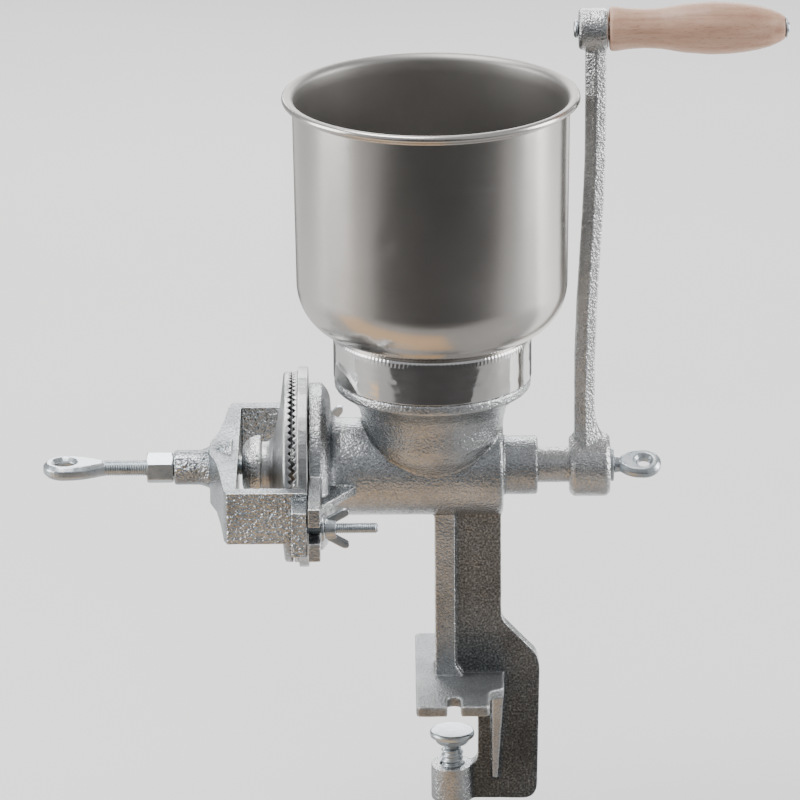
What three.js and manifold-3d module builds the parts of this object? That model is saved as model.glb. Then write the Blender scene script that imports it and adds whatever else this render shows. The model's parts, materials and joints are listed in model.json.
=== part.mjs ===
// Hand-cranked burr mill with a lift-off hopper, a turning crank and a table clamp.
// Millimetres, +Z up. X runs along the shaft towards the crank; the origin lies on the
// underside of the table pad, straight below the middle of the hopper.
import * as THREE from "three";
import { mergeVertices } from "three/addons/utils/BufferGeometryUtils.js";
import Module from "manifold-3d";

const wasm = await Module();
wasm.setup();

// ---- driving dimensions -------------------------------------------------------------------
const GAP = 0.3; // clearance between neighbouring pieces
const SHAFT_Z = 122; // shaft axis above the pad's underside
const SHAFT_R = 9.5;

const BARREL = { r: 26, bore: 20, back: 37, wall: 6 };
const BOSS = { r: 15.7, end: 55.3 };
const FLANGE = { r: 44.5, x0: -65.1, x1: -58.6 };
const LUG = { y: 91, z: -4.8, h: 29.3, slot: 8.5, slotFrom: 73 };
const THROAT = { lipR: 51.8, lipZ: 51.5, spigotR: 49.9, spigotTop: 62 };

const HOPPER = { rimR: 77.4, rimZ: 205, wallR: 72, wall: 1.0, collarR: 52, collarZ: 75 };

const STATOR = { r: 53, eye: 21.5, x0: -65.7, x1: -70.8, toothR: 50.5, valley: -71.6, peak: -73.6 };
const ROTOR = { r: 50.4, eye: 24, peak: -74.0, valley: -76.0, rim: -78.5, neckR: 13.4, end: -90.4 };
const TEETH = 84;
const BURR_SCREW = { shank: 2, head: 3.6, face: -71.2, end: -59.4 };
const CAP = { r: 17, x0: -90.7, x1: -101.0, seat: -93.2 };
const BALL_R = 3.0;

const YOKE = {
  inner: 62.4, outer: 70.3, z: -3, h: 28.5, face: -102.5,
  lugX: -65.5, lugT: 8.5, lugY: 91, lugZ: -4.6, lugH: 24.6,
};
const YOKE_BOSS = { r: 9.3, end: -136.8 };
const STUD = { r: 2.8, y: 79.4, x0: -72, x1: -29 };
const ADJUSTER = { r: 4.35, tip: -99.5, root: -171.5, eyeL: 35, eyeW: 22.5, eyeT: 7.5 };
const NUT = { r: 8.5, length: 14 };

const CRANK = { throw: 239, hubR: 16.9, x0: 71.6, x1: 93.5, armX: 85.2, bend: 5.4, armT: 11, armW: 17 };
const ROOT = { z0: 13, z1: 30, out: 6.2 }; // where the arm spreads into the hub's outer side
const CRANK_TOP = { r: 11, x0: 76.2, x1: 91.7 };
const GRIP = { x0: 92.1, x1: 182.6, bore: 3.6, spindle: 3.2 };

const PAD = { x0: -10.1, x1: 29, y: 53, t: 6, notch: 14 };
const LEG = { front: 0.4, strip: 11, stripY: 10, web: 4.5, throat: 23, outer: 36, spine: 56.5, foot: -190 };
const HEEL = { x0: 30.5, x1: 37, xLow: 34, yTop: 27, yLow: 6.5, low: -177 };
const CLAMP = { x: 9.4, r: 6, armTop: -170, gapTop: -151, end: -236 };

// ---- materials ----------------------------------------------------------------------------
const finish = (name, color, roughness, metalness) =>
  Object.assign(new THREE.MeshStandardMaterial({ color, roughness, metalness }), { name });

const castIron = () => finish("tinned_cast_iron", 0xc4c5c4, 0.42, 0.9);
const steelSheet = () => finish("stainless_sheet", 0xcfcac2, 0.28, 1.0);
const polished = () => finish("polished_steel", 0xdadcdd, 0.08, 1.0);
const burrIron = () => finish("burr_iron", 0xb4b6b6, 0.48, 0.9);
const zinc = () => finish("zinc_plated_steel", 0xb9c2c8, 0.3, 1.0);
const beech = () => finish("beech_wood", 0xd2ab8a, 0.6, 0.0);

// ---- solids -------------------------------------------------------------------------------
const V2 = (x, y) => new THREE.Vector2(x, y);

/** Closed three.js geometry as a manifold solid. */
function solid(geometry) {
  const bare = geometry.clone();
  bare.deleteAttribute("normal");
  bare.deleteAttribute("uv");
  const welded = mergeVertices(bare, 1e-4);
  const index = welded.index.array;
  const triangles = [];
  for (let i = 0; i < index.length; i += 3) {
    const [a, b, c] = [index[i], index[i + 1], index[i + 2]];
    if (a !== b && b !== c && c !== a) triangles.push(a, b, c);
  }
  return new wasm.Manifold(new wasm.Mesh({
    numProp: 3,
    vertProperties: new Float32Array(welded.attributes.position.array),
    triVerts: new Uint32Array(triangles),
  }));
}

/** Turned solid about X from [radius, x] pairs; a ring when the profile stays off the axis. */
function turnedX(profile, segments = 64) {
  return solid(lathe(profile, segments).rotateZ(-Math.PI / 2));
}

/** Turned solid about Z from [radius, z] pairs. */
function turnedZ(profile, segments = 64) {
  return solid(lathe(profile, segments).rotateX(Math.PI / 2));
}

function lathe(profile, segments) {
  const points = profile.map(([r, h]) => V2(r, h));
  if (profile[0][0] > 0) points.push(points[0].clone());
  const geometry = new THREE.LatheGeometry(points, segments);
  if (signedArea(profile) < 0) flip(geometry);
  return geometry;
}

function signedArea(profile) {
  return profile.reduce((sum, [x, y], i) => {
    const [u, v] = profile[(i + 1) % profile.length];
    return sum + x * v - u * y;
  }, 0);
}

function flip(geometry) {
  const index = geometry.index.array;
  for (let i = 0; i < index.length; i += 3) [index[i], index[i + 1]] = [index[i + 1], index[i]];
}

function box(x0, x1, y0, y1, z0, z1) {
  return solid(new THREE.BoxGeometry(x1 - x0, y1 - y0, z1 - z0)
    .translate((x0 + x1) / 2, (y0 + y1) / 2, (z0 + z1) / 2));
}

/** Outline in the plan (X, Y), extruded from z0 to z1. */
function plan(shape, z0, z1, bevel = 0, curveSegments = 10) {
  return solid(extruded(shape, z1 - z0, bevel, curveSegments).translate(0, 0, z0));
}

/** Outline in the end view (Y, Z), extruded from x0 to x1. */
function endwise(shape, x0, x1) {
  return solid(extruded(shape, x1 - x0, 0, 6)
    .rotateX(Math.PI / 2).rotateZ(Math.PI / 2).translate(x0, 0, 0));
}

/** Outline in the side view (X, Z), extruded from -y to +y. */
function side(shape, y, bevel = 0, curveSegments = 10) {
  return solid(extruded(shape, 2 * y, bevel, curveSegments)
    .rotateX(Math.PI / 2).translate(0, y, 0));
}

function extruded(shape, depth, bevel, curveSegments) {
  return new THREE.ExtrudeGeometry(shape, {
    depth: depth - 2 * bevel, curveSegments, bevelEnabled: bevel > 0,
    bevelThickness: bevel, bevelSize: bevel, bevelOffset: -bevel, bevelSegments: 1,
  }).translate(0, 0, bevel);
}

function polygon(points) {
  return new THREE.Shape(points.map(([x, y]) => V2(x, y)));
}

/** Polygon whose corners are rounded; a point is [x, y, radius]. */
function rounded(points) {
  const shape = new THREE.Shape();
  points.forEach(([x, y, r = 0], i) => {
    const here = V2(x, y);
    const before = V2(...points[(i + points.length - 1) % points.length].slice(0, 2)).sub(here);
    const after = V2(...points[(i + 1) % points.length].slice(0, 2)).sub(here);
    const start = here.clone().add(before.setLength(r));
    const end = here.clone().add(after.setLength(r));
    if (i === 0) shape.moveTo(start.x, start.y);
    else shape.lineTo(start.x, start.y);
    if (r > 0) shape.quadraticCurveTo(x, y, end.x, end.y);
  });
  shape.closePath();
  return shape;
}

const cylinderX = (r, x0, x1, segments = 32) => turnedX([[0, x0], [r, x0], [r, x1], [0, x1]], segments);
const cylinderZ = (r, z0, z1, segments = 32) => turnedZ([[0, z0], [r, z0], [r, z1], [0, z1]], segments);
const union = (first, ...rest) => rest.reduce((a, b) => a.add(b), first);

// ---- assembly -----------------------------------------------------------------------------
const mill = new THREE.Group();
mill.name = "burr_mill";

/** Adds a piece; solids are drawn about the shaft axis and lifted to the pad's frame here. */
function piece(name, body, material) {
  const { vertProperties, triVerts } = body.getMesh();
  const geometry = new THREE.BufferGeometry();
  geometry.setAttribute("position", new THREE.BufferAttribute(new Float32Array(vertProperties), 3));
  geometry.setIndex(new THREE.BufferAttribute(new Uint32Array(triVerts), 1));
  geometry.translate(0, 0, SHAFT_Z).computeVertexNormals();
  const mesh = new THREE.Mesh(geometry, material);
  mesh.name = name;
  mill.add(mesh);
}

// ---- cast body: flange, barrel, throat, bearing boss, leg and clamp arm ---------------------
function barrelOutside() {
  return turnedX([
    [0, FLANGE.x0], [FLANGE.r, FLANGE.x0], [FLANGE.r, FLANGE.x1], [41, -55.6], [37.5, -54.2],
    [29, -53.4], [26.8, -52], [BARREL.r, -49], [BARREL.r, BARREL.back - 1.5],
    [BARREL.r - 1.5, BARREL.back], [BOSS.r, BARREL.back], [BOSS.r, BOSS.end - 0.9],
    [BOSS.r - 0.9, BOSS.end], [0, BOSS.end],
  ], 48);
}

function throatOutside() {
  return turnedZ([
    [0, -5], [13, -5], [23.5, 1], [27.6, 5.5], [33.2, 12], [36.7, 19.5], [37.8, 29],
    [39.2, 34.9], [41.6, 38.4], [46, 42.2], [THROAT.lipR, 46.4],
    [THROAT.lipR, THROAT.lipZ - 0.8], [THROAT.lipR - 0.8, THROAT.lipZ],
    [THROAT.spigotR, THROAT.lipZ], [THROAT.spigotR, THROAT.spigotTop - 0.8],
    [THROAT.spigotR - 0.8, THROAT.spigotTop], [0, THROAT.spigotTop],
  ], 44);
}

function throatCavity() {
  return turnedZ([
    [0, -1], [19, -1], [22, 6], [30, 16], [33.6, 30], [39, 38.5], [46.4, 46],
    [46.4, THROAT.spigotTop + 1], [0, THROAT.spigotTop + 1],
  ], 36);
}

/** Forked ear for a yoke bolt, on the side of the flange given by sign. */
function forkedEar(sign) {
  const low = LUG.z - LUG.h / 2;
  const ear = box(FLANGE.x0, FLANGE.x1, 30, LUG.y, low, low + LUG.h)
    .subtract(box(FLANGE.x0 - 1, FLANGE.x1 + 1, LUG.slotFrom, LUG.y + 1,
      LUG.z - LUG.slot / 2, LUG.z + LUG.slot / 2));
  const gusset = plan(polygon([[-60, 20], [-41, 20], [-41.5, 27], [-60, 58]]), -6.5, -1.5);
  const half = union(ear, gusset);
  return sign > 0 ? half : half.mirror([0, 1, 0]);
}

function leg() {
  const { front, throat, outer, spine, foot } = LEG;
  const padTop = PAD.t - SHAFT_Z;
  const strip = box(front, front + LEG.strip, -LEG.stripY, LEG.stripY, padTop - 1, -18);
  const toe = side(polygon([[6, padTop + 14], [front + LEG.strip + 4, padTop], [6, padTop]]), LEG.stripY);
  const web = side(rounded([
    [front + 2, -20], [outer, -20], [outer, -86, 4], [55, -106, 3], [spine, -113, 3],
    [spine - 1.5, foot, 9], [CLAMP.x - 4, foot + 1, 4], [CLAMP.x - 4, CLAMP.armTop, 4],
    [throat, CLAMP.armTop, 7], [throat, padTop - 3], [front + 2, padTop - 3],
  ]), LEG.web);
  const heel = endwise(polygon([
    [-HEEL.yTop, padTop - 0.6], [HEEL.yTop, padTop - 0.6], [HEEL.yLow, HEEL.low],
    [-HEEL.yLow, HEEL.low],
  ]), HEEL.x0, HEEL.x1).intersect(side(polygon([
    [HEEL.x0, HEEL.low], [HEEL.xLow, HEEL.low], [HEEL.x1, padTop], [HEEL.x0, padTop],
  ]), HEEL.yTop));
  const arm = cylinderZ(11.5, foot, CLAMP.armTop, 32).translate([CLAMP.x, 0, 0]);
  const thread = cylinderZ(CLAMP.r + GAP, foot - 1, CLAMP.armTop + 1, 32)
    .translate([CLAMP.x, 0, 0]);
  const saddle = cylinderX(9, 0, BARREL.back - 0.5, 32).translate([0, 0, -18]);
  return union(strip, toe, web, heel, arm, saddle).subtract(thread);
}

/** Flat foot that stands on the table, with an open notch in its front edge. */
function tablePad() {
  const { x0, x1, y, t, notch } = PAD;
  const outline = rounded([
    [x0, -y, 3], [6.6, -y], [6.6, notch - y, 3.2], [13.5, notch - y, 3.2], [13.5, -y], [x1, -y, 3],
    [x1, -HEEL.yTop - 5, 2], [HEEL.x1, -HEEL.yTop, 3], [HEEL.x1, HEEL.yTop, 3],
    [x1, HEEL.yTop + 5, 2], [x1, y, 3], [x0, y, 3],
  ]);
  return plan(outline, -SHAFT_Z, t - SHAFT_Z, 0, 6);
}

const bearing = cylinderX(SHAFT_R + GAP, 20, BOSS.end + 1, 36);
const barrelBore = cylinderX(BARREL.bore, FLANGE.x0 - 1, BARREL.back - BARREL.wall, 36);
const burrScrewAngles = [90, 210, 330];
const burrScrewRing = 32;
const aroundShaft = (body, degrees) =>
  body.translate([0, burrScrewRing * Math.cos(degrees * Math.PI / 180),
    burrScrewRing * Math.sin(degrees * Math.PI / 180)]);

const screwHoles = burrScrewAngles.map((a) =>
  aroundShaft(cylinderX(BURR_SCREW.shank + GAP, FLANGE.x0 - 1, BURR_SCREW.end + GAP, 16), a));

piece("mill_body", union(barrelOutside(), throatOutside(), forkedEar(1), forkedEar(-1),
  leg(), tablePad())
  .subtract(throatCavity()).subtract(barrelBore).subtract(bearing)
  .subtract(union(...screwHoles)), castIron());

// ---- hopper ---------------------------------------------------------------------------------
const { rimR, rimZ, wallR, wall, collarR, collarZ } = HOPPER;
const neck = collarR - 1.4;
piece("hopper_bowl", turnedZ([
  [neck - 0.8, collarZ - 12], [neck, collarZ - 12], [neck, collarZ + 0.6],
  [collarR + 1.4, collarZ + 1.4], [56, collarZ + 2.8], [62.2, 83], [66.5, 89.4], [69.4, 96],
  [70.8, 103], [71.5, 150], [wallR, rimZ - 6.4], [wallR + 0.8, rimZ - 5],
  [rimR - 1.2, rimZ - 4], [rimR, rimZ - 2], [rimR - 1.2, rimZ], [wallR + 1.2, rimZ - 1.2],
  [wallR - wall, rimZ - 4], [71.5 - wall, 150], [70.8 - wall, 103.4], [68.4, 96.6],
  [65.6, 90.3], [61.5, 84], [55.6, collarZ + 3.8], [collarR, collarZ + 2.3],
  [neck - 0.8, collarZ + 1.4],
], 52), steelSheet());

piece("hopper_collar", turnedZ([
  [collarR, THROAT.lipZ + GAP], [collarR, collarZ], [collarR - 0.3, collarZ + 0.3],
  [collarR - 1.1, collarZ + 0.2], [collarR - 1.1, THROAT.lipZ + GAP],
], 52), polished());

// ---- burrs ----------------------------------------------------------------------------------
/** Turned ring whose face points (marked by a third value) rise to the tooth crests. */
function toothedRing(profile) {
  const geometry = lathe(profile.map(([r, x]) => [r, x]), TEETH * 2);
  const position = geometry.attributes.position;
  const rows = profile.length + 1;
  for (let i = 0; i < position.count; i += 1) {
    const crest = profile[(i % rows) % profile.length][2];
    const column = Math.floor(i / rows) % (TEETH * 2);
    if (crest !== undefined && column % 2 === 1) position.setY(i, crest);
  }
  return solid(geometry.rotateZ(-Math.PI / 2));
}

const statorPlate = turnedX([
  [STATOR.eye, STATOR.x0], [STATOR.eye, STATOR.x1], [STATOR.r, STATOR.x1], [STATOR.r, STATOR.x0],
], 44);
const statorTeeth = toothedRing([
  [STATOR.eye + 3, STATOR.x1 + 1], [STATOR.eye + 3, STATOR.valley + 0.4],
  [STATOR.toothR, STATOR.valley, STATOR.peak], [STATOR.toothR, STATOR.x1 + 1],
]);
const stator = statorPlate.add(statorTeeth);
const { shank, head, face, end } = BURR_SCREW;
const sockets = burrScrewAngles.map((a) => aroundShaft(turnedX([
  [0, STATOR.peak - 1], [head + GAP, STATOR.peak - 1], [head + GAP, face + 0.4],
  [shank + GAP, face + 2], [shank + GAP, STATOR.x0 + 1], [0, STATOR.x0 + 1],
], 16), a));
piece("stationary_burr", stator.subtract(union(...sockets)), burrIron());

const rotorBell = turnedX([
  [SHAFT_R + GAP, ROTOR.valley + 0.3], [SHAFT_R + GAP, ROTOR.end], [ROTOR.neckR, ROTOR.end],
  [ROTOR.neckR, -88], [14.2, -86.2], [16.3, -84.4], [20.7, -82.9], [34.2, -80.4],
  [ROTOR.r - 1.2, ROTOR.rim - 0.1], [ROTOR.r, ROTOR.rim + 0.9], [ROTOR.r, ROTOR.valley - 0.8],
  [ROTOR.r - 3, ROTOR.valley + 0.3],
], 44);
const rotorTeeth = toothedRing([
  [ROTOR.eye, ROTOR.valley - 1], [ROTOR.r, ROTOR.valley - 1], [ROTOR.r, ROTOR.valley, ROTOR.peak],
  [ROTOR.eye, ROTOR.valley + 0.2],
]);
const rotor = rotorBell.add(rotorTeeth.rotate([180 / TEETH, 0, 0]));
const pinSlot = box(ROTOR.end - 1, -85.2, -11.3, 11.3, -2.5, 2.5);
piece("rotating_burr", rotor.subtract(pinSlot), burrIron());

burrScrewAngles.forEach((angle, i) => piece(`burr_screw_${i + 1}`, aroundShaft(turnedX([
  [0, face], [head, face], [head, face + 0.3], [shank, face + 2], [shank, end], [0, end],
], 16), angle), zinc()));

// ---- shaft with its feed screw --------------------------------------------------------------
/** Helical flight from a bent box: length runs round the helix, height runs outwards. */
function flight(x0, x1, r0, r1, turns, thickness) {
  const geometry = new THREE.BoxGeometry(1, 1, 1, 84, 1, 1);
  const position = geometry.attributes.position;
  for (let i = 0; i < position.count; i += 1) {
    const along = position.getX(i) + 0.5;
    const radius = r0 + (r1 - r0) * (position.getY(i) + 0.5);
    const angle = along * turns * 2 * Math.PI;
    const lean = position.getY(i) > 0 ? 0.55 : 1;
    position.setXYZ(i, x0 + (x1 - x0) * along - position.getZ(i) * thickness * lean,
      radius * Math.cos(angle), radius * Math.sin(angle));
  }
  return solid(geometry);
}

const shaft = turnedX([
  [0, -89.8], [SHAFT_R, -89.8], [SHAFT_R, 91.4], [SHAFT_R - 1, 92.4], [0, 92.4],
], 36);
const tapped = cylinderX(3.3, 76, 93, 24);
const pinHole = turnedZ([[0, -12], [2.5, -12], [2.5, 12], [0, 12]], 20).rotate([90, 0, 0])
  .translate([-87.9, 0, 0]);
piece("feed_shaft", union(shaft, flight(-60, 26, SHAFT_R - 2, 18.8, 2.6, 8))
  .subtract(tapped).subtract(pinHole), castIron());

piece("drive_pin", turnedZ([[0, -11], [2.2, -11], [2.2, 11], [0, 11]], 20).rotate([90, 0, 0])
  .translate([-87.9, 0, 0]), zinc());

piece("thrust_cap", turnedX([
  [0, CAP.x0], [CAP.r - 0.5, CAP.x0], [CAP.r, CAP.x0 - 0.5], [CAP.r, -93], [16, -96.4],
  [13.6, -98.8], [11.2, -100.4], [9, CAP.x1], [7, -100.6], [5.4, -98.8], [BALL_R + GAP, -98.6],
  [BALL_R + GAP, CAP.seat], [0, CAP.seat],
], 32), castIron());

piece("thrust_ball", solid(new THREE.SphereGeometry(BALL_R, 14, 9))
  .translate([CAP.seat - GAP - BALL_R, 0, 0]), zinc());

// ---- yoke -----------------------------------------------------------------------------------
function yokeBody() {
  const half = [
    [YOKE.lugX, YOKE.outer], [-107.6, YOKE.outer], [-109.4, 65], [-111.6, 42], [-114.2, 23],
    [-118, 9.3],
  ];
  const outline = new THREE.Shape([
    ...half.map(([x, y]) => V2(x, y)),
    ...half.reverse().map(([x, y]) => V2(x, -y)),
  ]);
  const bottom = YOKE.z - YOKE.h / 2;
  const frame = plan(outline, bottom, bottom + YOKE.h)
    .subtract(box(YOKE.face, YOKE.lugX + 1, -YOKE.inner, YOKE.inner, bottom - 1, 20));
  const boss = turnedX([
    [0, -106], [16, -106], [14, -112], [11.4, -117], [YOKE_BOSS.r, -123],
    [YOKE_BOSS.r, YOKE_BOSS.end + 0.8], [YOKE_BOSS.r - 0.8, YOKE_BOSS.end], [0, YOKE_BOSS.end],
  ], 40);
  const ears = [1, -1].map((sign) => {
    const ear = box(YOKE.lugX - YOKE.lugT, YOKE.lugX, YOKE.inner + 1, YOKE.lugY,
      YOKE.lugZ - YOKE.lugH / 2, YOKE.lugZ + YOKE.lugH / 2);
    return sign > 0 ? ear : ear.mirror([0, 1, 0]);
  });
  const studHoles = [1, -1].map((sign) =>
    cylinderX(STUD.r + GAP, STUD.x0 - GAP, YOKE.lugX + 1, 24).translate([0, sign * STUD.y, LUG.z]));
  return union(frame, boss, ...ears)
    .subtract(cylinderX(ADJUSTER.r + GAP, YOKE_BOSS.end - 1, YOKE.face + 5, 32))
    .subtract(union(...studHoles));
}
piece("yoke", yokeBody(), castIron());

/** Wing nut on the X axis: its wings lean out by reach and are swung round by turn, in degrees. */
function wingNut(reach, turn) {
  const x0 = FLANGE.x1 + 2.3;
  const hub = turnedX([[STUD.r + GAP, x0], [5.6, x0], [4.9, x0 + 5.4], [STUD.r + GAP, x0 + 5.4]], 24);
  const wing = side(rounded([
    [x0 + 0.4, 3.4, 0.5], [x0 + 5, 3.4, 1], [x0 + reach, 7.6, 1.2], [x0 + reach - 0.2, 10.6, 1.3],
    [x0 + reach - 3, 10.8, 1.2], [x0 + 0.8, 6, 1],
  ]), 1.5, 0, 5);
  return union(hub, wing, wing.rotate([180, 0, 0])).rotate([turn, 0, 0]);
}

const cheeks = [["rear", 1, 8.4, 4], ["front", -1, 12.4, 0]];
for (const [where, sign, reach, turn] of cheeks) {
  const place = (body) => body.translate([0, sign * STUD.y, LUG.z]);
  piece(`yoke_stud_${where}`, place(turnedX([
    [0, STUD.x0], [STUD.r, STUD.x0], [STUD.r, STUD.x1 - 0.8], [STUD.r - 0.8, STUD.x1], [0, STUD.x1],
  ], 24)), zinc());
  piece(`washer_${where}`, place(turnedX([
    [STUD.r + GAP, FLANGE.x1 + GAP], [7, FLANGE.x1 + GAP], [7, FLANGE.x1 + 1.7],
    [STUD.r + GAP, FLANGE.x1 + 1.7],
  ], 28)), zinc());
  piece(`wing_nut_${where}`, place(wingNut(reach, turn)), zinc());
}

// ---- burr adjuster --------------------------------------------------------------------------
/** Forged drop-shaped eye in the plan, from x = 0 (neck) to x = length, with a finger hole. */
function eye(length, width, thickness, hole) {
  const shape = new THREE.Shape();
  const neck = 3.4;
  const middle = length - width / 2;
  shape.moveTo(0, -neck);
  shape.bezierCurveTo(4, -neck, middle - width * 0.62, -width / 2, middle, -width / 2);
  shape.absarc(middle, 0, width / 2, -Math.PI / 2, Math.PI / 2, false);
  shape.bezierCurveTo(middle - width * 0.62, width / 2, 4, neck, 0, neck);
  shape.closePath();
  const ring = new THREE.Path();
  ring.absarc(middle, 0, hole, 0, 2 * Math.PI, true);
  shape.holes.push(ring);
  return solid(extruded(shape, thickness, thickness * 0.28, 7).translate(0, 0, -thickness / 2));
}

const adjusterShank = turnedX([
  [0, ADJUSTER.tip], [2.4, ADJUSTER.tip], [ADJUSTER.r, ADJUSTER.tip - 2], [ADJUSTER.r, ADJUSTER.root],
  [0, ADJUSTER.root],
], 32);
piece("adjusting_screw", union(adjusterShank,
  eye(ADJUSTER.eyeL, ADJUSTER.eyeW, ADJUSTER.eyeT, 5.2).rotate([0, 0, 180])
    .translate([ADJUSTER.root + 0.5, 0, 0])), zinc());

const nutHalf = NUT.length / 2;
const nut = solid(new THREE.CylinderGeometry(NUT.r, NUT.r, NUT.length, 6).rotateZ(Math.PI / 2))
  .intersect(turnedX([
    [0, -nutHalf], [NUT.r - 1.2, -nutHalf], [NUT.r, 0.7 - nutHalf], [NUT.r, nutHalf - 0.7],
    [NUT.r - 1.2, nutHalf], [0, nutHalf],
  ], 36))
  .subtract(cylinderX(ADJUSTER.r + GAP, -nutHalf - 1, nutHalf + 1, 32))
  .translate([YOKE_BOSS.end - GAP - nutHalf, 0, 0]);
piece("lock_nut", nut, zinc());

// ---- crank ----------------------------------------------------------------------------------
function crankArm() {
  const hub = turnedX([
    [0, CRANK.x0], [CRANK.hubR - 2.4, CRANK.x0], [CRANK.hubR, CRANK.x0 + 2.6],
    [CRANK.hubR, CRANK.x1 - 2.2], [CRANK.hubR - 2, CRANK.x1], [0, CRANK.x1],
  ], 48);
  const top = turnedX([
    [0, CRANK_TOP.x0], [CRANK_TOP.r - 1.2, CRANK_TOP.x0], [CRANK_TOP.r, CRANK_TOP.x0 + 1.2],
    [CRANK_TOP.r, CRANK_TOP.x1 - 1], [CRANK_TOP.r - 1, CRANK_TOP.x1], [0, CRANK_TOP.x1],
  ], 36).translate([0, 0, CRANK.throw]);
  const half = CRANK.armT / 2;
  const axisAt = (z) => CRANK.armX - CRANK.bend * (1 - THREE.MathUtils.smoothstep(z, 50, 185));
  const stations = [ROOT.z0, 16, 19, 23, ROOT.z1, 60, 90, 120, 145, 170, 205, CRANK.throw];
  const levels = stations.length - 1;
  const geometry = new THREE.CylinderGeometry(1, 1, levels, 6, levels);
  const position = geometry.attributes.position;
  for (let i = 0; i < position.count; i += 1) {
    const z = stations[Math.round(position.getY(i) + levels / 2)];
    const spread = (Math.max(0, ROOT.z1 - z) / (ROOT.z1 - ROOT.z0)) ** 2;
    const width = (CRANK.armW - (z / CRANK.throw) * 4) * (1 + 0.35 * spread);
    const across = position.getX(i) / Math.sin(Math.PI / 3);
    const thick = half + (across > 0 ? ROOT.out * spread : 0);
    position.setXYZ(i, axisAt(z) + across * thick, -position.getZ(i) * width / 2, z);
  }
  return union(hub, solid(geometry), top)
    .subtract(cylinderX(SHAFT_R + GAP, CRANK.x0 - 1, 92.8, 48))
    .subtract(cylinderX(4.6, 90, CRANK.x1 + 1, 32))
    .subtract(cylinderX(GRIP.spindle + GAP, 60, 100, 24).translate([0, 0, CRANK.throw]));
}
piece("crank_arm", crankArm(), castIron());

piece("crank_washer", turnedX([
  [3 + GAP, CRANK.x1 + GAP], [9, CRANK.x1 + GAP], [9, CRANK.x1 + 1.9], [3 + GAP, CRANK.x1 + 1.9],
], 32), zinc());

const THUMB = { neck: CRANK.x1 + 2.2, eyeL: 24.4, eyeW: 18.5, eyeT: 6.4, turn: 23 };
piece("crank_thumb_screw", union(
  turnedX([[0, 77.5], [3, 77.5], [3, THUMB.neck], [4.6, THUMB.neck], [4.2, THUMB.neck + 3],
    [0, THUMB.neck + 3]], 28),
  eye(THUMB.eyeL, THUMB.eyeW, THUMB.eyeT, 3.5).rotate([THUMB.turn, 0, 0])
    .translate([THUMB.neck + 0.4, 0, 0]),
), zinc());

// ---- grip -----------------------------------------------------------------------------------
const onGrip = (body) => body.translate([0, 0, CRANK.throw]);
piece("handle_grip", onGrip(turnedX([
  [GRIP.bore, GRIP.x0], [10.8, GRIP.x0], [11.7, GRIP.x0 + 1.2], [11.6, 96], [10.7, 101.6],
  [10.2, 110], [10.6, 118.6], [12.7, 131], [13.75, 144.5], [13.5, 153], [12.8, 160.8],
  [11.5, 168.4], [9.8, 175], [7.6, 179.8], [5.9, GRIP.x1], [GRIP.bore, GRIP.x1],
], 36)), beech());

piece("handle_spindle", onGrip(turnedX([
  [0, 73.6], [3.6, 73.8], [4.6, 74.6], [4.6, CRANK_TOP.x0 - GAP], [GRIP.spindle, CRANK_TOP.x0 - GAP],
  [GRIP.spindle, GRIP.x1 + 1.6], [2.4, GRIP.x1 + 2.4], [0, GRIP.x1 + 2.6],
], 24)), zinc());

piece("handle_washer", onGrip(turnedX([
  [GRIP.spindle + GAP, GRIP.x1 + GAP], [5.6, GRIP.x1 + GAP], [5.6, GRIP.x1 + 1.1],
  [GRIP.spindle + GAP, GRIP.x1 + 1.1],
], 24)), zinc());

// ---- table clamp ----------------------------------------------------------------------------
const onClamp = (body) => body.translate([CLAMP.x, 0, 0]);
const discTop = CLAMP.gapTop;
piece("clamp_pad", onClamp(turnedZ([
  [0, discTop], [11, discTop], [12, discTop - 1], [12, discTop - 3], [10, discTop - 4.2],
  [8.4, discTop - 7], [4.4, discTop - 7], [4.4, discTop - 4], [0, discTop - 4],
], 40)), zinc());

piece("clamp_screw", onClamp(turnedZ([
  [0, discTop - 4 - GAP], [4, discTop - 4 - GAP], [4, discTop - 8], [CLAMP.r, discTop - 9.4],
  [CLAMP.r, CLAMP.end + 16], [4, CLAMP.end + 16], [4, CLAMP.end], [0, CLAMP.end],
], 32)), zinc());

function clampHandle() {
  const hub = cylinderZ(8, CLAMP.end - 1, CLAMP.end + 16 - GAP, 32);
  const wing = side(rounded([
    [4, CLAMP.end + 1, 1], [15, CLAMP.end - 1, 3], [27, CLAMP.end + 2, 3.5], [31, CLAMP.end + 9, 3.5],
    [26, CLAMP.end + 15, 4], [15, CLAMP.end + 11, 4], [4, CLAMP.end + 14, 1],
  ]), 3, 0, 6);
  return union(hub, wing, wing.rotate([0, 0, 180]))
    .subtract(cylinderZ(4 + GAP, CLAMP.end - 2, CLAMP.end + 17, 28));
}
piece("clamp_handle", onClamp(clampHandle()), castIron());

export default mill;
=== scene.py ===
"""Looks of a hand-crank grain mill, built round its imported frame. Metres, +Z up."""

import json
import math

import bmesh
import bpy
import numpy as np
from mathutils import Matrix, Vector, noise


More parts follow.
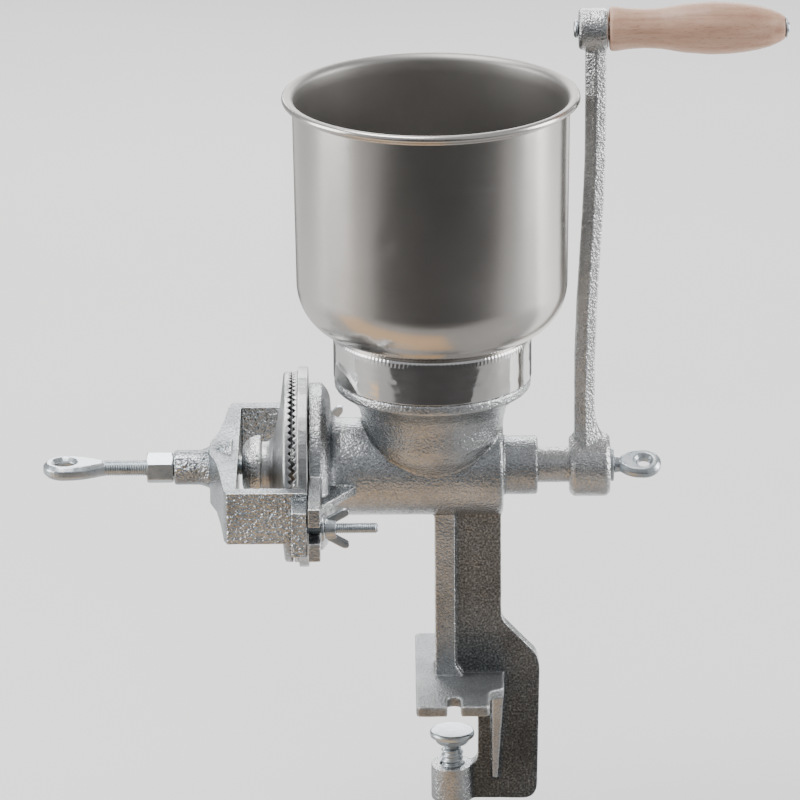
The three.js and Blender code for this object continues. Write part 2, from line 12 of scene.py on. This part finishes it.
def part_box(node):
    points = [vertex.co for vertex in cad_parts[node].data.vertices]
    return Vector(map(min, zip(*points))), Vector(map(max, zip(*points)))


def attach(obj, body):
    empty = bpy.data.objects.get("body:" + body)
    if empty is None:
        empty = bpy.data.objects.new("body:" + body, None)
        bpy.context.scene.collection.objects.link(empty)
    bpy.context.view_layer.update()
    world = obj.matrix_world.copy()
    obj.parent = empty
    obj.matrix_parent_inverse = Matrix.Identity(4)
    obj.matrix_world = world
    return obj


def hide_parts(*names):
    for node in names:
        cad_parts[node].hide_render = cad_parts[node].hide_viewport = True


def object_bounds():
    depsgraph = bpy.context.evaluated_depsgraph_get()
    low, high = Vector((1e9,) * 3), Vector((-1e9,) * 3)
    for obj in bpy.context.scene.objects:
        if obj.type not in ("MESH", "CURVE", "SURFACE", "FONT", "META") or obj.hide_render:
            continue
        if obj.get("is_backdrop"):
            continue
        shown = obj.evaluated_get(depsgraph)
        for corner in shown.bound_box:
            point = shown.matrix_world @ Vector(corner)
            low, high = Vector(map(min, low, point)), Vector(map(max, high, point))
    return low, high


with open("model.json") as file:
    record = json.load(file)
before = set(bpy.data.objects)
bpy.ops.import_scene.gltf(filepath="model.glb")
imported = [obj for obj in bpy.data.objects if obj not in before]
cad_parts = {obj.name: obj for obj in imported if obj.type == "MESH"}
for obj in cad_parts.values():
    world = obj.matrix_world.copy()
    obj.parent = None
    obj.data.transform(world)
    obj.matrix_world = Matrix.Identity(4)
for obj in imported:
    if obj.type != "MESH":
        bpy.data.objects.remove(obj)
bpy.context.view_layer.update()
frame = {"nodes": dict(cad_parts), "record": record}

MM = 0.001

# ---- places taken from the frame ------------------------------------------------------------
BODY_OF = {node: body for body, nodes in frame["record"]["behaviour"]["bodies"].items()
           for node in nodes}


def middle(node):
    low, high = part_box(node)
    return (low + high) / 2


SHAFT_Z = middle("stationary_burr").z
BOWL_LOW, BOWL_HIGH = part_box("hopper_bowl")
RIM_R = BOWL_HIGH.x
RIM_Z = BOWL_HIGH.z

# ---- sizes the looks need -------------------------------------------------------------------
BARREL_R = 26 * MM
WEB_HALF = 5.2 * MM       # half the thickness of the leg's web, with a little to spare
REST_TOP = 8 * MM         # just above the table rest
WEB_FADE_TOP = SHAFT_Z - 88 * MM
WEB_FADE = 35 * MM        # height over which the painted shade on the web deepens
PIT_DEPTH = 0.25 * MM     # unevenness of a cast surface
PIT_SIZE = 7 * MM


# ---- mesh helpers ---------------------------------------------------------------------------
def new_object(name, mesh):
    obj = bpy.data.objects.new(name, mesh)
    bpy.context.scene.collection.objects.link(obj)
    return obj


def shade_smooth(mesh):
    mesh.polygons.foreach_set("use_smooth", np.ones(len(mesh.polygons), bool))
    mesh.update()


def grid_mesh(name, rows, closed_rows=False):
    """Surface through equal rings of points; every ring closes on itself."""
    count = len(rows[0])
    vertices = [tuple(point) for row in rows for point in row]
    faces = []
    last = len(rows) if closed_rows else len(rows) - 1
    for i in range(last):
        a, b = i * count, ((i + 1) % len(rows)) * count
        for j in range(count):
            k = (j + 1) % count
            faces.append((a + j, a + k, b + k, b + j))
    if not closed_rows:
        faces.append(tuple(range(count - 1, -1, -1)))
        faces.append(tuple(range((len(rows) - 1) * count, len(rows) * count)))
    mesh = bpy.data.meshes.new(name)
    mesh.from_pydata(vertices, [], faces)
    bm = bmesh.new()
    bm.from_mesh(mesh)
    bmesh.ops.recalc_face_normals(bm, faces=bm.faces)
    bm.to_mesh(mesh)
    bm.free()
    shade_smooth(mesh)
    return mesh


def ring(centre, radius, height, segments):
    """One level circle of points."""
    points = []
    for j in range(segments):
        angle = 2 * math.pi * j / segments
        points.append(Vector((centre.x + radius * math.cos(angle),
                              centre.y + radius * math.sin(angle), height)))
    return points


def rounded_profile(points, steps=4, sharp=0.25):
    """Cuts each corner of an open profile of (radius, height) pairs with a small curve."""
    result = [points[0]]
    for before, here, after in zip(points, points[1:], points[2:]):
        p, q, r = (np.array(x, float) for x in (before, here, after))
        reach = sharp * min(np.linalg.norm(p - q), np.linalg.norm(r - q))
        start = q + (p - q) / max(np.linalg.norm(p - q), 1e-9) * reach
        end = q + (r - q) / max(np.linalg.norm(r - q), 1e-9) * reach
        for i in range(steps + 1):
            t = i / steps
            result.append(tuple((1 - t) ** 2 * start + 2 * t * (1 - t) * q + t ** 2 * end))
    result.append(points[-1])
    return result


def turned(name, centre, profile, segments, closed=True):
    """Piece turned about +Z from (radius, height) pairs; a closed profile makes a ring."""
    rows = [ring(centre, r, h, segments) for r, h in profile]
    return new_object(name, grid_mesh(name, rows, closed_rows=closed))


def cad_copy(node, name, clip=None):
    """New mesh with a CAD node's shape; clip is (point, normal) and removes the normal's side."""
    source = frame["nodes"][node].data
    mesh = source.copy()
    mesh.name = name
    bm = bmesh.new()
    bm.from_mesh(mesh)
    bmesh.ops.remove_doubles(bm, verts=bm.verts, dist=1e-6)
    if clip:
        geometry = bm.verts[:] + bm.edges[:] + bm.faces[:]
        cut = bmesh.ops.bisect_plane(bm, geom=geometry, plane_co=clip[0], plane_no=clip[1],
                                     clear_outer=True)
        edges = [e for e in cut["geom_cut"] if isinstance(e, bmesh.types.BMEdge)]
        bmesh.ops.holes_fill(bm, edges=edges)
    bm.to_mesh(mesh)
    bm.free()
    mesh.materials.clear()
    return new_object(name, mesh)


def apply_modifiers(obj):
    depsgraph = bpy.context.evaluated_depsgraph_get()
    mesh = bpy.data.meshes.new_from_object(obj.evaluated_get(depsgraph))
    obj.modifiers.clear()
    obj.data = mesh
    shade_smooth(mesh)


def soften(obj, voxel, rounds=4, factor=0.5):
    """Rounds every edge and corner of a solid, as casting or tumbling does."""
    remesh = obj.modifiers.new("remesh", "REMESH")
    remesh.mode = "VOXEL"
    remesh.voxel_size = voxel
    smooth = obj.modifiers.new("smooth", "SMOOTH")
    smooth.factor = factor
    smooth.iterations = rounds
    apply_modifiers(obj)
    return obj


def hollow_noise(obj, depth, size, seed=0.0):
    """Lowers the surface unevenly, never above the first shape."""
    mesh = obj.data
    count = len(mesh.vertices)
    co = np.empty(count * 3)
    normal = np.empty(count * 3)
    mesh.vertices.foreach_get("co", co)
    mesh.vertex_normals.foreach_get("vector", normal)
    co, normal = co.reshape(-1, 3), normal.reshape(-1, 3)
    shift = Vector((seed, seed * 0.7, -seed))
    height = np.array([noise.noise(Vector(p) / size + shift) for p in co])
    co += normal * (-depth * (0.5 + 0.5 * height))[:, None]
    mesh.vertices.foreach_set("co", co.ravel())
    mesh.update()


def threaded(name, axis, centre, radius, start, end, pitch, depth, chamfer=0.001):
    """Rod with a fine helical groove, from start to end along its axis."""
    segments, per_pitch = 40, 8
    count = max(4, int(abs(end - start) / pitch * per_pitch))
    rows = []
    for i in range(count + 1):
        along = start + (end - start) * i / count
        taper = min(1.0, 0.62 + 0.38 * min(abs(along - start), abs(along - end)) / chamfer)
        row = []
        for j in range(segments):
            angle = 2 * math.pi * j / segments
            phase = (along / pitch - j / segments) % 1.0
            groove = depth * (1 - abs(2 * phase - 1)) ** 1.3
            r = (radius - groove) * taper
            u, v = r * math.cos(angle), r * math.sin(angle)
            row.append(Vector((along, centre.y + u, centre.z + v)) if axis == "X"
                       else Vector((centre.x + u, centre.y + v, along)))
        rows.append(row)
    return new_object(name, grid_mesh(name, rows))


# ---- material helpers -----------------------------------------------------------------------
class Surface:
    """A procedural material under construction."""

    def __init__(self, name):
        self.material = bpy.data.materials.new(name)
        self.material.use_nodes = True
        self.tree = self.material.node_tree
        self.shader = self.tree.nodes["Principled BSDF"]
        self.coordinates = self.node("ShaderNodeTexCoord").outputs["Object"]
        self.height = None

    def node(self, kind, **settings):
        node = self.tree.nodes.new(kind)
        for key, value in settings.items():
            setattr(node, key, value)
        return node

    def link(self, output, target):
        self.tree.links.new(output, target)

    def stretched(self, scale):
        mapping = self.node("ShaderNodeMapping")
        mapping.inputs["Scale"].default_value = scale
        self.link(self.coordinates, mapping.inputs["Vector"])
        return mapping.outputs["Vector"]

    def noise(self, scale, detail=3.0, roughness=0.55, vector=None, distortion=0.0):
        node = self.node("ShaderNodeTexNoise")
        node.inputs["Scale"].default_value = scale
        node.inputs["Detail"].default_value = detail
        node.inputs["Roughness"].default_value = roughness
        node.inputs["Distortion"].default_value = distortion
        self.link(vector or self.coordinates, node.inputs["Vector"])
        return node.outputs["Fac"]

    def cells(self, scale):
        node = self.node("ShaderNodeTexVoronoi")
        node.inputs["Scale"].default_value = scale
        self.link(self.coordinates, node.inputs["Vector"])
        return node.outputs["Distance"]

    def axis(self, name):
        """One object coordinate, in metres."""
        node = self.node("ShaderNodeSeparateXYZ")
        self.link(self.coordinates, node.inputs["Vector"])
        return node.outputs[name]

    def ramp(self, value, *stops):
        """Maps a 0-1 value through (position, colour or grey) stops."""
        node = self.node("ShaderNodeValToRGB")
        elements = node.color_ramp.elements
        while len(elements) < len(stops):
            elements.new(0.5)
        for element, (position, colour) in zip(elements, stops):
            element.position = position
            grey = isinstance(colour, (int, float))
            element.color = (colour, colour, colour, 1) if grey else (*colour, 1)
        self.link(value, node.inputs["Fac"])
        return node.outputs["Color"]

    def math(self, operation, a, b):
        node = self.node("ShaderNodeMath", operation=operation)
        for socket, value in zip(node.inputs, (a, b)):
            if isinstance(value, (int, float)):
                socket.default_value = value
            else:
                self.link(value, socket)
        return node.outputs["Value"]

    def mix(self, factor, a, b, blend="MIX"):
        node = self.node("ShaderNodeMix", data_type="RGBA", blend_type=blend)
        for socket, value in zip((node.inputs[0], node.inputs[6], node.inputs[7]), (factor, a, b)):
            if isinstance(value, tuple):
                socket.default_value = (*value, 1)
            elif isinstance(value, (int, float)):
                socket.default_value = value
            else:
                self.link(value, socket)
        return node.outputs[2]

    def bump(self, height, distance, strength=1.0):
        node = self.node("ShaderNodeBump")
        node.inputs["Distance"].default_value = distance
        node.inputs["Strength"].default_value = strength
        self.link(height, node.inputs["Height"])
        if self.height:
            self.link(self.height, node.inputs["Normal"])
        self.height = node.outputs["Normal"]

    def facing(self, axis):
        """The object's own normal along one axis, before any bump."""
        node = self.node("ShaderNodeSeparateXYZ")
        self.link(self.node("ShaderNodeTexCoord").outputs["Normal"], node.inputs["Vector"])
        return node.outputs[axis]

    def finish(self, colour, roughness, metallic):
        self.link(colour, self.shader.inputs["Base Color"])
        if isinstance(roughness, float):
            self.shader.inputs["Roughness"].default_value = roughness
        else:
            self.link(roughness, self.shader.inputs["Roughness"])
        self.shader.inputs["Metallic"].default_value = metallic
        if self.height:
            self.link(self.height, self.shader.inputs["Normal"])
        return self.material


def cast_metal(name, light, dark, rough, grain=0.0003, scale=900, leg=False, cheeks=0.0):
    """Tinned sand casting: a half-bright skin over a coarse grain of small facets, with painted
    shade in its hollows and creases and a painted highlight on its sharp edges.

    rough is the roughness of its (shiny, dull) patches; leg adds painted shade and a duller gloss
    on the web and table rest; cheeks is the depth of the coarser grain on faces turned to the
    front or back, and also brings painted shade on faces turned straight up.
    """
    s = Surface(name)
    blotch = s.noise(30, 3, 0.55)
    fine = s.noise(scale, 3, 0.55, distortion=0.4)
    facets = s.cells(scale * 0.9)
    tone = s.ramp(blotch, (0.34, dark), (0.62, light))
    speck = s.ramp(fine, (0.34, 0.72), (0.56, 1.0))
    colour = s.mix(1.0, tone, speck, "MULTIPLY")
    # painted shade: hollows and creases (low pointiness) are darkened
    edge = s.node("ShaderNodeNewGeometry").outputs["Pointiness"]
    colour = s.mix(1.0, colour, s.ramp(edge, (0.42, 0.45), (0.495, 0.95), (0.5, 1.0)), "MULTIPLY")
    # painted highlight: sharp convex edges are mixed towards near white
    colour = s.mix(s.ramp(edge, (0.515, 0.0), (0.56, 0.9)), colour, (0.94, 0.94, 0.93))
    gloss = s.ramp(s.math("ADD", s.math("MULTIPLY", fine, 0.5), s.math("MULTIPLY", blotch, 0.5)),
                   (0.35, rough[1]), (0.65, rough[0]))
    pits = s.math("ADD", fine, s.math("MULTIPLY", facets, 0.6))
    if leg:
        recess = web_mask(s)
        # painted shade on the recessed web, under its dusty skin with light specks
        colour = s.mix(recess, colour, s.mix(1.0, colour, web_dust_and_shade(s), "MULTIPLY"))
        # painted shade on the table rest: its colour is darkened to 0.72
        rest = s.math("MULTIPLY", rest_mask(s), s.math("SUBTRACT", 1.0, recess))
        colour = s.mix(1.0, colour, s.ramp(rest, (0.0, 1.0), (1.0, 0.72)), "MULTIPLY")
        gloss = s.mix(s.math("MAXIMUM", recess, rest), gloss, (0.5, 0.5, 0.5))
        pits = s.math("MULTIPLY", pits, s.math("SUBTRACT", 1.0, s.math("MULTIPLY", recess, 0.6)))
    s.bump(s.noise(140, 3, 0.5), 0.0006, 0.5)
    s.bump(pits, grain, 1.0)
    if cheeks:
        # painted shade on faces turned straight up
        colour = s.mix(level_mask(s), colour, s.mix(1.0, colour, (0.6, 0.6, 0.6), "MULTIPLY"))
        pebbles = s.math("ADD", s.noise(420, 2, 0.5), s.math("MULTIPLY", s.cells(700), 0.5))
        s.bump(s.math("MULTIPLY", pebbles, cheek_mask(s)), cheeks, 1.0)
    return s.finish(colour, gloss, metallic=1.0)


def cheek_mask(s):
    """1 on faces turned to the front or back, where the sand left its coarsest grain."""
    return s.ramp(s.math("ABSOLUTE", s.facing("Y"), 0.0), (0.6, 0.0), (0.8, 1.0))


def level_mask(s):
    """1 on faces turned straight up, which get painted shade."""
    return s.ramp(s.facing("Z"), (0.8, 0.0), (0.95, 1.0))


def web_mask(s):
    """1 on the two faces of the leg's recessed web below the barrel, 0 elsewhere."""
    thin = s.math("LESS_THAN", s.math("ABSOLUTE", s.axis("Y"), 0.0), WEB_HALF)
    low = s.math("LESS_THAN", s.axis("Z"), SHAFT_Z - BARREL_R)
    return s.math("MULTIPLY", cheek_mask(s), s.math("MULTIPLY", thin, low))


def rest_mask(s):
    """1 on the table rest, which gets painted shade and a duller gloss, 0 elsewhere."""
    above = s.math("GREATER_THAN", s.axis("Z"), -1 * MM)
    below = s.math("LESS_THAN", s.axis("Z"), REST_TOP)
    return s.math("MULTIPLY", above, below)


def web_dust_and_shade(s):
    """Grey, dusty foundry skin with light specks over painted shade, the shade deepening towards
    the clamp.
    """
    dust = s.noise(900, 3, 0.65)
    skin = s.ramp(dust, (0.36, (0.30, 0.305, 0.31)), (0.56, (0.56, 0.565, 0.57)),
                  (0.66, (1.0, 1.0, 1.0)))
    # painted shade, deepening downwards from WEB_FADE_TOP
    depth = s.math("MULTIPLY", s.math("SUBTRACT", WEB_FADE_TOP, s.axis("Z")), 1 / WEB_FADE)
    shade = s.ramp(depth, (0.0, (1.0, 0.97, 0.93)), (1.0, (0.5, 0.52, 0.53)))
    return s.mix(1.0, skin, shade, "MULTIPLY")


def satin_sheet(name, smooth, shade=1.0):
    """Spun stainless steel: fine hoops round the bowl and a soft, wide shine.

    smooth is its lowest roughness; a shade below 1 darkens it into a copy with painted shade.
    """
    s = Surface(name)
    hoops = s.noise(1.0, 5, 0.7, vector=s.stretched((18, 18, 2600)))
    cloud = s.noise(14, 3, 0.5)
    dark = tuple(shade * c for c in (0.60, 0.575, 0.545))
    light = tuple(shade * c for c in (0.70, 0.675, 0.645))
    colour = s.ramp(cloud, (0.3, dark), (0.7, light))
    gloss = s.ramp(s.math("ADD", s.math("MULTIPLY", hoops, 0.5), s.math("MULTIPLY", cloud, 0.5)),
                   (0.3, smooth), (0.7, smooth + 0.1))
    s.bump(hoops, 0.00002, 0.6)
    return s.finish(colour, gloss, metallic=1.0)


def mirror_band():
    """Polished collar with slight dents and wipe marks."""
    s = Surface("polished_band")
    wipe = s.noise(60, 4, 0.6, vector=s.stretched((1, 1, 3)))
    gloss = s.ramp(wipe, (0.35, 0.05), (0.75, 0.16))
    colour = s.ramp(wipe, (0.2, (0.70, 0.69, 0.675)), (0.8, (0.78, 0.775, 0.765)))
    s.bump(s.noise(30, 3, 0.5), 0.0016, 0.5)
    return s.finish(colour, gloss, metallic=1.0)


def zinc_plate():
    """Bluish bright zinc with dull handling marks."""
    s = Surface("zinc_plate")
    cloud = s.noise(160, 4, 0.6)
    scratch = s.noise(1.0, 4, 0.7, vector=s.stretched((250, 1600, 1600)))
    colour = s.ramp(cloud, (0.25, (0.46, 0.50, 0.53)), (0.7, (0.68, 0.72, 0.745)))
    gloss = s.ramp(s.math("ADD", s.math("MULTIPLY", cloud, 0.6), s.math("MULTIPLY", scratch, 0.4)),
                   (0.3, 0.2), (0.7, 0.42))
    s.bump(scratch, 0.00003, 0.7)
    return s.finish(colour, gloss, metallic=1.0)


def beech():
    """Turned beech: long soft grain with short brown flecks along the grip."""
    s = Surface("beech")
    grain = s.noise(1.0, 5, 0.6, vector=s.stretched((14, 170, 260)), distortion=0.3)
    fleck = s.noise(1.0, 2, 0.5, vector=s.stretched((240, 2300, 2300)))
    tone = s.ramp(grain, (0.25, (0.40, 0.215, 0.142)), (0.5, (0.55, 0.33, 0.226)),
                  (0.75, (0.66, 0.42, 0.305)))
    marks = s.ramp(fleck, (0.28, (0.62, 0.52, 0.46)), (0.42, (1.0, 1.0, 1.0)))
    colour = s.mix(0.8, tone, marks, "MULTIPLY")
    gloss = s.ramp(grain, (0.3, 0.36), (0.7, 0.48))
    s.bump(s.math("ADD", grain, s.math("MULTIPLY", fleck, 0.5)), 0.00012, 0.5)
    return s.finish(colour, gloss, metallic=0.0)


CAST = cast_metal("tinned_casting", (0.76, 0.77, 0.77), (0.54, 0.54, 0.535), (0.15, 0.3),
                  grain=0.0004)
CAST_BODY = cast_metal("tinned_casting_body", (0.65, 0.67, 0.685), (0.44, 0.45, 0.455),
                       (0.15, 0.3), grain=0.0004, leg=True)
CAST_ROUGH = cast_metal("tinned_casting_coarse", (0.62, 0.66, 0.69), (0.38, 0.405, 0.425),
                        (0.13, 0.27), cheeks=0.0015)
BURR = cast_metal("burr_casting", (0.60, 0.61, 0.615), (0.48, 0.485, 0.49), (0.26, 0.4),
                  grain=0.00016, scale=1300)
SHEET = satin_sheet("satin_stainless", 0.17)
# darker, duller copy of the sheet: painted shade inside the bowl
SHEET_SHADED_INSIDE = satin_sheet("dull_shaded_stainless", 0.42, shade=0.56)
BAND = mirror_band()
ZINC = zinc_plate()
WOOD = beech()


# ---- how a piece joins the frame ------------------------------------------------------------
def paint(obj, material):
    obj.data.materials.clear()
    obj.data.materials.append(material)


def stand_for(obj, node, material):
    """obj takes the place of a CAD node, on that node's body."""
    paint(obj, material)
    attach(obj, BODY_OF[node])
    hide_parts(node)


def add_on(obj, node, material):
    """obj is a further piece of what a CAD node stands for."""
    paint(obj, material)
    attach(obj, BODY_OF[node])


# ---- castings -------------------------------------------------------------------------------
def castings():
    """Each with its voxel size and the rounds of smoothing that soften its edges."""
    for node, voxel, rounds, material in (
        ("mill_body", 0.7 * MM, 6, CAST_BODY),
        ("yoke", 0.6 * MM, 6, CAST_ROUGH),
        ("crank_arm", 0.5 * MM, 18, CAST),
        ("thrust_cap", 0.4 * MM, 4, CAST),
        ("clamp_handle", 0.5 * MM, 6, CAST),
        ("feed_shaft", 0.6 * MM, 3, CAST),
    ):
        piece = soften(cad_copy(node, f"{node}_surface"), voxel, rounds)
        hollow_noise(piece, PIT_DEPTH, PIT_SIZE, seed=len(node))
        stand_for(piece, node, material)


# ---- hopper ---------------------------------------------------------------------------------
def arc(centre, radii, start, end, steps):
    """Points of an ellipse's arc in a (radius, height) profile, between angles in degrees."""
    points = []
    for i in range(steps + 1):
        angle = math.radians(start + (end - start) * i / steps)
        points.append((centre[0] + radii[0] * math.cos(angle),
                       centre[1] + radii[1] * math.sin(angle)))
    return points


def bowl_outside():
    """Neck, rounded bottom and slightly tapered wall, from the bottom up."""
    z0 = BOWL_LOW.z
    neck_r, neck_h = 50.6 * MM, 11.5 * MM
    wall_r, taper, round_r = 70.9 * MM, 1.1 * MM, 27 * MM
    low, high = z0 + 42 * MM, RIM_Z - 6.2 * MM
    rows = 24
    bottom = arc((wall_r - round_r, z0 + 41 * MM), (round_r, 1.05 * round_r), -73, 0, 12)
    wall = [(wall_r + taper * i / rows, low + (high - low) * i / rows) for i in range(rows + 1)]
    top = (wall_r + taper, high + 0.5 * MM)
    return [(neck_r, z0), (neck_r, z0 + neck_h), *bottom, *wall, top]


def hopper():
    """Bowl of one sheet with a rolled rim; a second, darker material paints shade on its inside
    and on faces turned straight up.
    """
    sheet, bead_r, mouth_r = 1.0 * MM, 1.9 * MM, 4.2 * MM
    outer = bowl_outside()
    bead = arc((RIM_R - bead_r, RIM_Z - bead_r), (bead_r, bead_r), -100, 90, 12)
    mouth = arc((RIM_R - bead_r, RIM_Z - mouth_r), (mouth_r, mouth_r), 90, 180, 8)[1:]
    inner = [(r - sheet, z + 0.4 * sheet) for r, z in reversed(outer[:-1])]
    bowl = turned("hopper_bowl_surface", Vector((0, 0, 0)), outer + bead + mouth + inner, 256)
    dent(bowl, Vector((-22.5 * MM, -68 * MM, SHAFT_Z + 146 * MM)), 3.2 * MM, 0.25 * MM)
    stand_for(bowl, "hopper_bowl", SHEET)
    bowl.data.materials.append(SHEET_SHADED_INSIDE)
    # painted shade: inward and upward faces take the darker inside material
    for face in bowl.data.polygons:
        outward = face.normal.x * face.center.x + face.normal.y * face.center.y
        if outward < 0 or face.normal.z > 0.8:
            face.material_index = 1


def dent(obj, place, reach, depth):
    """Pushes the wall in a little round one point."""
    for vertex in obj.data.vertices:
        fall = math.exp(-(vertex.co - place).length_squared / (2 * reach ** 2))
        radial = Vector((vertex.co.x, vertex.co.y, 0)).normalized()
        vertex.co -= radial * depth * fall


def collar():
    """Polished band; its upper edge is crimped in fine ticks onto the bowl's neck."""
    low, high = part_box("hopper_collar")
    r, sheet, ticks = high.x, 1.0 * MM, 144
    crimp, crimp_depth = 3.8 * MM, 0.16 * MM
    points = [(r - 0.3 * MM, low.z), (r, low.z + 0.3 * MM), (r, low.z + 1 * MM),
              (r, (low.z + high.z) / 2), (r, high.z - crimp - 1 * MM), (r, high.z - crimp),
              (r, high.z - 1.2 * MM),
              (r - 0.5 * MM, high.z - 0.1 * MM), (r - sheet, high.z - 0.2 * MM),
              (r - sheet, low.z)]
    band = turned("hopper_collar_surface", Vector((0, 0, 0)), rounded_profile(points), ticks * 6)
    for vertex in band.data.vertices:
        rise = min(1.0, max(0.0, (vertex.co.z - high.z + crimp) / (0.5 * crimp)))
        wave = 0.5 + 0.5 * math.cos(ticks * math.atan2(vertex.co.y, vertex.co.x))
        vertex.co.xy *= 1 - crimp_depth * rise * wave / r
    stand_for(band, "hopper_collar", BAND)


# ---- small hardware -------------------------------------------------------------------------
def hardware():
    """Small plated pieces, each with the voxel size in millimetres that rounds its edges."""
    for node, voxel in (
        ("burr_screw_1", 0.3), ("burr_screw_2", 0.3), ("burr_screw_3", 0.3), ("drive_pin", 0.3),
        ("thrust_ball", 0.3), ("washer_rear", 0.25), ("washer_front", 0.25),
        ("wing_nut_rear", 0.28), ("wing_nut_front", 0.28), ("lock_nut", 0.25),
        ("crank_washer", 0.25), ("handle_spindle", 0.35), ("handle_washer", 0.22),
        ("clamp_pad", 0.4),
    ):
        stand_for(soften(cad_copy(node, f"{node}_surface"), voxel * MM, 3), node, ZINC)


def adjuster():
    """Forged eye cut from the CAD shape, and a threaded rod that starts inside its neck."""
    node = "adjusting_screw"
    low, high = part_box(node)
    axis = Vector((0, 0, SHAFT_Z))
    neck = low.x + 30 * MM
    radius, pitch, depth = 4.35 * MM, 1.25 * MM, 0.75 * MM
    cut = (Vector((neck + 3 * MM, 0, 0)), Vector((1, 0, 0)))
    stand_for(soften(cad_copy(node, "adjuster_eye", clip=cut), 0.35 * MM, 6), node, ZINC)
    add_on(threaded("adjuster_thread", "X", axis, radius, neck, high.x, pitch, depth), node, ZINC)


def studs():
    pitch, depth = 1.0 * MM, 0.6 * MM
    for where in ("rear", "front"):
        node = f"yoke_stud_{where}"
        low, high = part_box(node)
        rod = threaded(f"{node}_thread", "X", (low + high) / 2, high.y - middle(node).y,
                       low.x, high.x, pitch, depth)
        stand_for(rod, node, ZINC)


def thumb_screw():
    node = "crank_thumb_screw"
    stand_for(soften(cad_copy(node, f"{node}_surface"), 0.35 * MM, 5), node, ZINC)


def clamp_screw():
    """Coarse thread over a plain core that reaches into the pad above and the wings below."""
    node = "clamp_screw"
    low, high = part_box(node)
    centre = middle(node)
    core_r, bevel_r, pitch, depth = 4 * MM, 1 * MM, 3 * MM, 1.4 * MM
    stem = threaded("clamp_thread", "Z", centre, high.x - centre.x, low.z + 15.4 * MM,
                    high.z - 5 * MM, pitch, depth, chamfer=2 * MM)
    add_on(stem, node, ZINC)
    profile = [(bevel_r, low.z), (core_r, low.z), (core_r, high.z), (bevel_r, high.z)]
    stand_for(turned("clamp_core", centre, profile, 48, closed=False), node, ZINC)


# ---- burrs ----------------------------------------------------------------------------------
def burrs():
    for node in ("stationary_burr", "rotating_burr"):
        piece = soften(cad_copy(node, f"{node}_surface"), 0.35 * MM, 1, 0.4)
        stand_for(piece, node, BURR)


# ---- grip -----------------------------------------------------------------------------------
def grip():
    node = "handle_grip"
    piece = soften(cad_copy(node, f"{node}_surface"), 0.5 * MM, 12)
    stand_for(piece, node, WOOD)


# ---- stage ----------------------------------------------------------------------------------
def panel(name, low, high, material):
    """Level or upright rectangle of the stage, between two opposite corners along X."""
    mesh = bpy.data.meshes.new(name)
    mesh.from_pydata([low, (high[0], low[1], low[2]), high, (low[0], high[1], high[2])],
                     [], [(0, 1, 2, 3)])
    obj = new_object(name, mesh)
    paint(obj, material)
    obj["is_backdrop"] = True
    return obj


def matt(name, dark, light):
    """Card or paper, a little uneven in tone."""
    s = Surface(name)
    return s.finish(s.ramp(s.noise(3, 2, 0.5), (0.3, dark), (0.7, light)), 0.7, metallic=0.0)


def stage():
    """Pale floor, and studio cards that only the metal's reflections show."""
    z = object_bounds()[0].z
    pale = matt("pale_floor", (0.86, 0.85, 0.84), (0.90, 0.89, 0.88))
    panel("floor", (-14, -14, z), (14, 14, z), pale)
    low, upper, top = z + 1 * MM, z + 2 * MM, z + 4 * MM
    grey = matt("grey_card", (0.25, 0.245, 0.24), (0.31, 0.305, 0.30))
    black = matt("black_card", (0.035, 0.033, 0.032), (0.045, 0.043, 0.042))
    mid = matt("mid_card", (0.42, 0.415, 0.41), (0.50, 0.495, 0.49))
    warm = matt("warm_card", (0.48, 0.32, 0.18), (0.56, 0.39, 0.24))
    cards = (
        panel("grey_card", (-3.2, -3.6, low), (3.2, 0.15, low), grey),
        panel("black_card_front", (-0.85, -3.4, upper), (1.2, -0.6, upper), black),
        panel("black_card_back", (-0.45, 0.75, upper), (0.45, 3.4, upper), black),
        panel("mid_card_back", (-3.2, 0.15, low), (-0.1, 2.6, low), mid),
        panel("warm_card", (-0.8, -0.36, top), (0.06, -0.06, top), warm),
        panel("black_flag", (-1.6, -3.7, 0.2), (1.6, -3.7, 1.5), black),
    )
    for card in cards:
        card.visible_camera = False
        card.visible_diffuse = False
        card.visible_shadow = False


def softbox(name, place, size, power):
    """Rectangular lamp turned to the middle of the mill."""
    data = bpy.data.lights.new(name, "AREA")
    data.shape = "RECTANGLE"
    data.size, data.size_y = size
    data.energy = power
    lamp = new_object(name, data)
    lamp.location = place
    ray = Vector((0, 0, 0.15)) - Vector(place)
    lamp.rotation_euler = ray.to_track_quat("-Z", "Y").to_euler()


def lights():
    """Pale studio world and four soft boxes."""
    world = bpy.data.worlds.new("studio")
    bpy.context.scene.world = world
    world.use_nodes = True
    background = world.node_tree.nodes["Background"]
    background.inputs["Color"].default_value = (0.95, 0.97, 1.0, 1)
    background.inputs["Strength"].default_value = 0.5
    softbox("left_box", (-1.5, -0.1, 0.5), (0.9, 1.2), 20)
    softbox("right_box", (1.5, 0.1, 0.5), (0.7, 1.2), 20)
    softbox("top_box", (-0.4, 0.1, 1.7), (1.2, 0.8), 26)
    softbox("back_box", (0.0, 1.8, 0.9), (2.0, 0.8), 28)


def camera():
    """Long lens, looking down at the front, square to the shaft."""
    elevation, roll = math.radians(19.6), math.radians(0.45)
    distance = 3.158
    aim = Vector((-17.2 * MM, 0.0, SHAFT_Z + 36.9 * MM))
    back = Vector((0, -math.cos(elevation), math.sin(elevation)))
    data = bpy.data.cameras.new("camera")
    data.sensor_width = 36
    data.lens = 270
    data.clip_end = 50
    obj = new_object("camera", data)
    obj.location = aim + back * distance
    turn = (-back).to_track_quat("-Z", "Y") @ Matrix.Rotation(-roll, 4, "Z").to_quaternion()
    obj.rotation_euler = turn.to_euler()
    bpy.context.scene.camera = obj


camera()
castings()
hopper()
collar()
hardware()
adjuster()
studs()
thumb_screw()
clamp_screw()
burrs()
grip()
stage()
lights()
